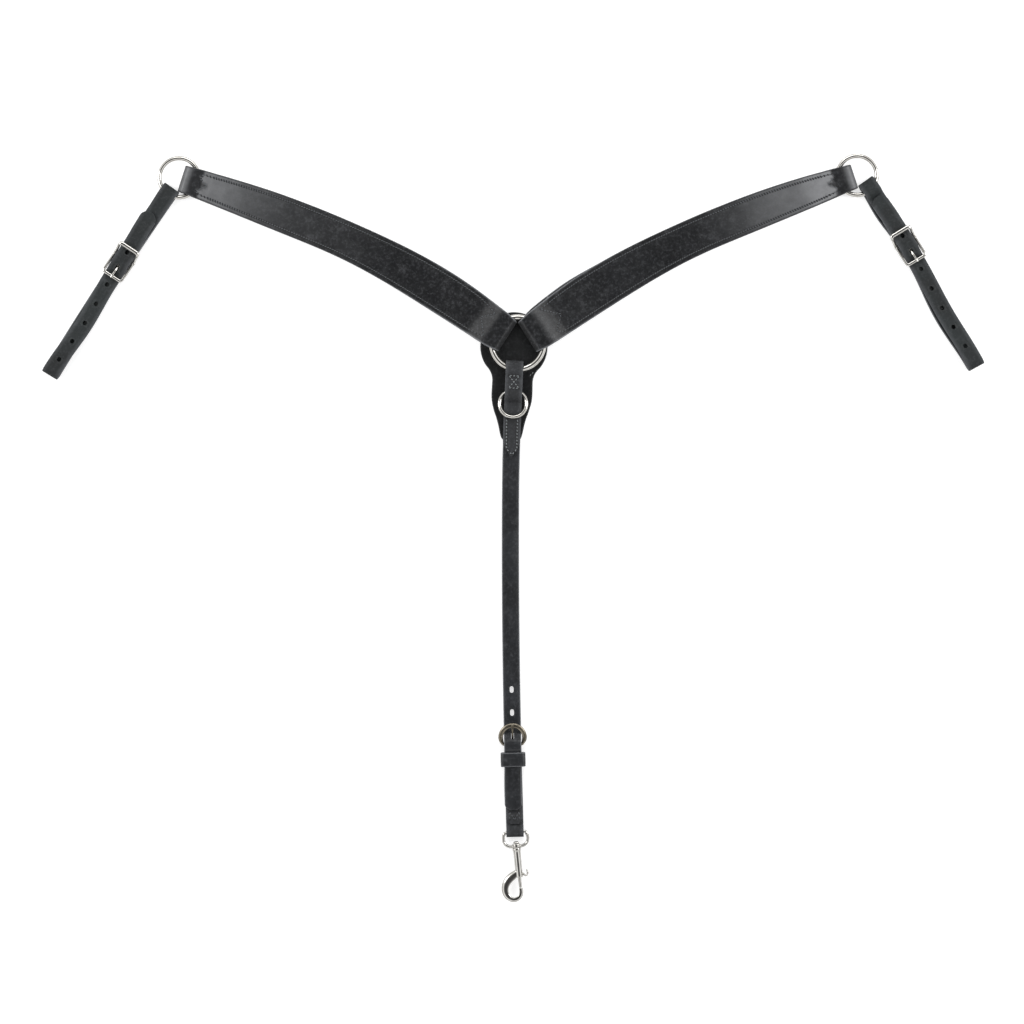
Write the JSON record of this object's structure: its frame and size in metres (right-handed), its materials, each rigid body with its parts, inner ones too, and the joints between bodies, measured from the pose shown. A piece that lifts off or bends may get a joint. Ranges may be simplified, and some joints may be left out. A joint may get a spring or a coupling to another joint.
{
  "type": "breast collar",
  "caption": "Black leather breast collar with contoured chest straps, rings, buckled tug straps and a drop strap that ends in a bolt snap.",
  "frame": {"origin": "under the middle of the collar's box, on the surface it lies on", "axes": "+X across the horse's chest from the left tug to the right one as pictured, +Y up towards the neck, +Z out of the surface the collar lies on"},
  "size_m": [1.0356, 0.8236, 0.0184],
  "materials": {
    "center_ring": "bright nickel plate",
    "left_chest_strap": "waxed black harness leather, semi-gloss",
    "left_chest_lining": "black lining leather, matt",
    "left_side_ring": "bright nickel plate",
    "left_tug_strap": "waxed black harness leather, semi-gloss",
    "left_tug_buckle": "bright nickel plate",
    "left_tug_tongue": "bright nickel plate",
    "right_chest_strap": "waxed black harness leather, semi-gloss",
    "right_chest_lining": "black lining leather, matt",
    "right_side_ring": "bright nickel plate",
    "right_tug_strap": "waxed black harness leather, semi-gloss",
    "right_tug_buckle": "bright nickel plate",
    "right_tug_tongue": "bright nickel plate",
    "ring_guard": "waxed black harness leather, semi-gloss",
    "drop_strap": "waxed black harness leather, semi-gloss",
    "snap_tab": "waxed black harness leather, semi-gloss",
    "drop_buckle_frame": "dull brassy nickel plate",
    "small_ring": "bright nickel plate",
    "drop_buckle_tongue": "dull brassy nickel plate",
    "drop_keeper": "waxed black harness leather, semi-gloss",
    "snap_eye": "bright nickel plate",
    "snap_body": "bright nickel plate",
    "snap_spring": "spring steel",
    "snap_bolt": "bright nickel plate"
  },
  "bodies": {
    "ring": {"center_ring": "center_ring"},
    "left_chest": {"left_chest_strap": "left_chest_strap", "left_chest_lining": "left_chest_lining"},
    "left_ring": {"left_side_ring": "left_side_ring"},
    "left_tug": {"left_tug_strap": "left_tug_strap", "left_tug_buckle": "left_tug_buckle"},
    "left_tongue": {"left_tug_tongue": "left_tug_tongue"},
    "right_chest": {"right_chest_strap": "right_chest_strap", "right_chest_lining": "right_chest_lining"},
    "right_ring": {"right_side_ring": "right_side_ring"},
    "right_tug": {"right_tug_strap": "right_tug_strap", "right_tug_buckle": "right_tug_buckle"},
    "right_tongue": {"right_tug_tongue": "right_tug_tongue"},
    "drop": {"ring_guard": "ring_guard", "drop_strap": "drop_strap", "snap_tab": "snap_tab", "drop_buckle_frame": "drop_buckle_frame"},
    "small_ring": {"small_ring": "small_ring"},
    "drop_tongue": {"drop_buckle_tongue": "drop_buckle_tongue"},
    "keeper": {"drop_keeper": "drop_keeper"},
    "snap_eye": {"snap_eye": "snap_eye"},
    "snap": {"snap_body": "snap_body", "snap_spring": "snap_spring"},
    "bolt": {"snap_bolt": "snap_bolt"}
  },
  "joints": [
    {"name": "left_chest_swing", "type": "hinge", "parent": "ring", "child": "left_chest", "pos_m": [0.00491, 0.20304, 0.00978], "axis": [0, 0, 1], "range_deg": [0, 25]},
    {"name": "left_ring_turn", "type": "hinge", "parent": "left_chest", "child": "left_ring", "pos_m": [-0.36762, 0.38532, 0.0058], "axis": [0, 0, 1], "continuous": true},
    {"name": "left_tug_swing", "type": "hinge", "parent": "left_chest", "child": "left_tug", "pos_m": [-0.36762, 0.38532, 0.0058], "axis": [0, 0, -1], "range_deg": [0, 95]},
    {"name": "left_tongue_lift", "type": "hinge", "parent": "left_tug", "child": "left_tongue", "pos_m": [-0.42795, 0.29695, 0.0067], "axis": [-0.8335, 0.5526, 0], "range_deg": [0, 5]},
    {"name": "right_chest_swing", "type": "hinge", "parent": "ring", "child": "right_chest", "pos_m": [0.00491, 0.20304, 0.00978], "axis": [0, 0, -1], "range_deg": [0, 25]},
    {"name": "right_ring_turn", "type": "hinge", "parent": "right_chest", "child": "right_ring", "pos_m": [0.3783, 0.38781, 0.0058], "axis": [0, 0, 1], "continuous": true},
    {"name": "right_tug_swing", "type": "hinge", "parent": "right_chest", "child": "right_tug", "pos_m": [0.3783, 0.38781, 0.0058], "axis": [0, 0, 1], "range_deg": [0, 95]},
    {"name": "right_tongue_lift", "type": "hinge", "parent": "right_tug", "child": "right_tongue", "pos_m": [0.431, 0.31495, 0.0067], "axis": [-0.8535, -0.5211, 0], "range_deg": [0, 5]},
    {"name": "drop_swing", "type": "hinge", "parent": "ring", "child": "drop", "pos_m": [0.00491, 0.20304, 0.00978], "axis": [0, 0, 1], "range_deg": [-10, 10]},
    {"name": "small_ring_flip", "type": "hinge", "parent": "drop", "child": "small_ring", "pos_m": [0.00034, 0.15119, 0.0086], "axis": [-0.9991, 0.0419, 0], "range_deg": [0, 140]},
    {"name": "drop_tongue_lift", "type": "hinge", "parent": "drop", "child": "drop_tongue", "pos_m": [-0.00053, -0.23784, 0.0061], "axis": [0.9997, 0.0231, 0], "range_deg": [0, 5]},
    {"name": "keeper_slide", "type": "slide", "parent": "drop", "child": "keeper", "axis": [0.0241, -0.9997, 0], "range_m": [0, 0.038]},
    {"name": "snap_eye_fold", "type": "hinge", "parent": "drop", "child": "snap_eye", "pos_m": [0.00196, -0.33451, 0.0071], "axis": [-0.9951, -0.0993, 0], "range_deg": [0, 110]},
    {"name": "snap_swivel", "type": "hinge", "parent": "snap_eye", "child": "snap", "pos_m": [0.00196, -0.33451, 0.0071], "axis": [0.0993, -0.9951, 0], "continuous": true},
    {"name": "bolt_slide", "type": "slide", "parent": "snap", "child": "bolt", "axis": [-0.0993, 0.9951, 0], "range_m": [0, 0.008], "stiffness_N_per_m": 300, "springref_m": -0.005, "deforming": ["snap_spring"]}
  ]
}
